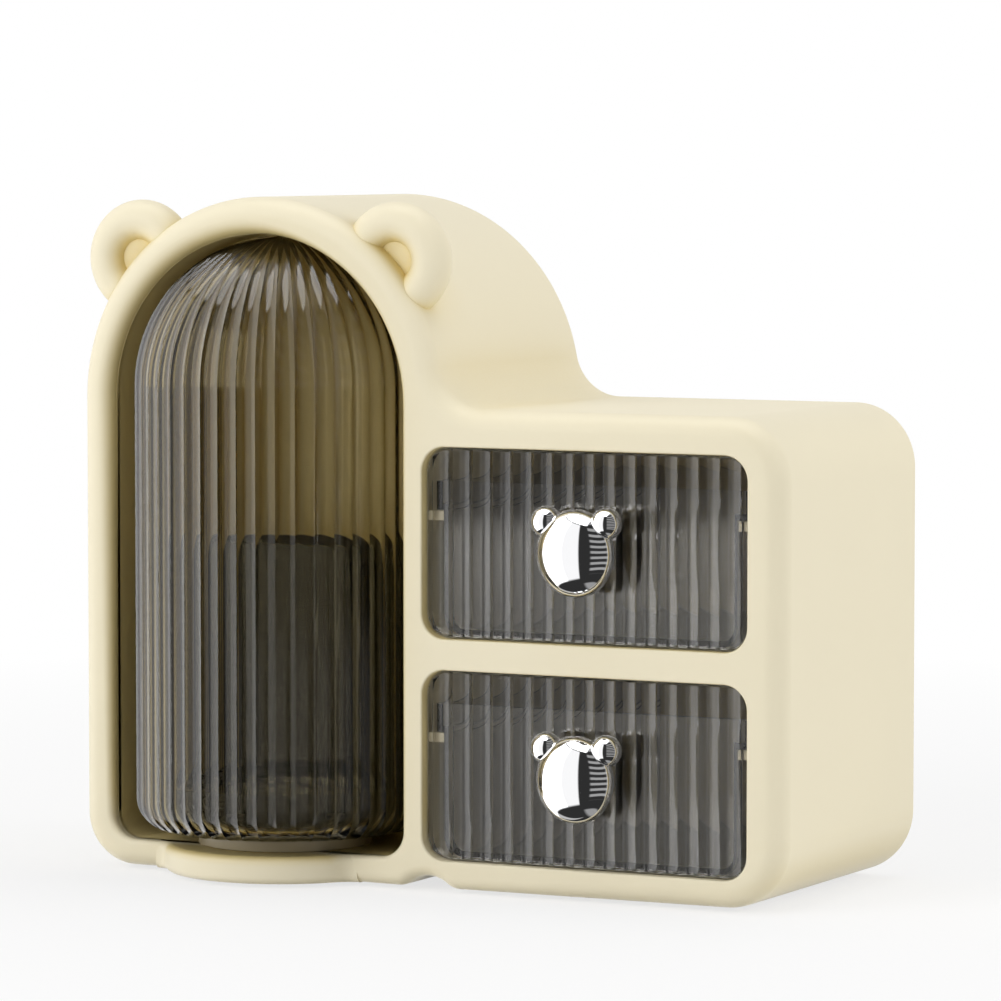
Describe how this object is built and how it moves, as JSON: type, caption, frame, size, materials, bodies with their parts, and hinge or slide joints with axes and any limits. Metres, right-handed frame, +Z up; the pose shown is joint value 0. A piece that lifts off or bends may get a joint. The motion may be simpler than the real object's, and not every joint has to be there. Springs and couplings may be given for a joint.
{
  "type": "rotating desk organizer with drawers",
  "caption": "Desk organizer with an arched tower that holds a domed, fluted pen drum turning about a vertical axis, beside a block of fluted pull-out drawers with round-eared chrome knobs.",
  "frame": {"origin": "middle of the bounding box on the table surface", "axes": "+X to the drawer side as seen from the front, +Y to the back, +Z up"},
  "size_m": [0.206, 0.108, 0.1796],
  "materials": {
    "cream_plastic": "satin moulded, fine grain",
    "smoky_clear": "transparent smoky polystyrene, polished",
    "dark_clear": "transparent dark polystyrene, polished",
    "chrome": "mirror-plated",
    "steel": "plain zinc-plated",
    "rubber": "matte",
    "bearing_plastic": "slick acetal"
  },
  "bodies": {
    "housing": {"front_housing": "cream_plastic", "chamber_liner": "cream_plastic", "drawer_carcass": "cream_plastic", "rear_cover": "cream_plastic", "left_ear": "cream_plastic", "right_ear": "cream_plastic", "foot_pads": "rubber", "rear_cover_screws": "steel", "bearing_base": "bearing_plastic", "bearing_screws": "steel", "thrust_washer": "bearing_plastic", "retaining_washer": "steel", "hub_screw": "steel"},
    "drum": {"drum_cover": "smoky_clear", "drum_base": "dark_clear", "cover_screws": "steel", "pen_rack": "dark_clear", "rack_partition": "dark_clear", "rack_shelf": "dark_clear"},
    "upper_drawer": {"upper_drawer_front": "smoky_clear", "upper_drawer_tray": "smoky_clear", "upper_knob": "chrome", "upper_knob_screw": "steel"},
    "lower_drawer": {"lower_drawer_front": "smoky_clear", "lower_drawer_tray": "smoky_clear", "lower_knob": "chrome", "lower_knob_screw": "steel"}
  },
  "joints": [
    {"name": "drum_spin", "type": "hinge", "parent": "housing", "child": "drum", "pos_m": [-0.04907, -0.0146, 0.0122], "axis": [0, 0, 1], "continuous": true},
    {"name": "upper_drawer_slide", "type": "slide", "parent": "housing", "child": "upper_drawer", "axis": [0, -1, 0], "range_m": [0, 0.06]},
    {"name": "lower_drawer_slide", "type": "slide", "parent": "housing", "child": "lower_drawer", "axis": [0, -1, 0], "range_m": [0, 0.06]}
  ]
}
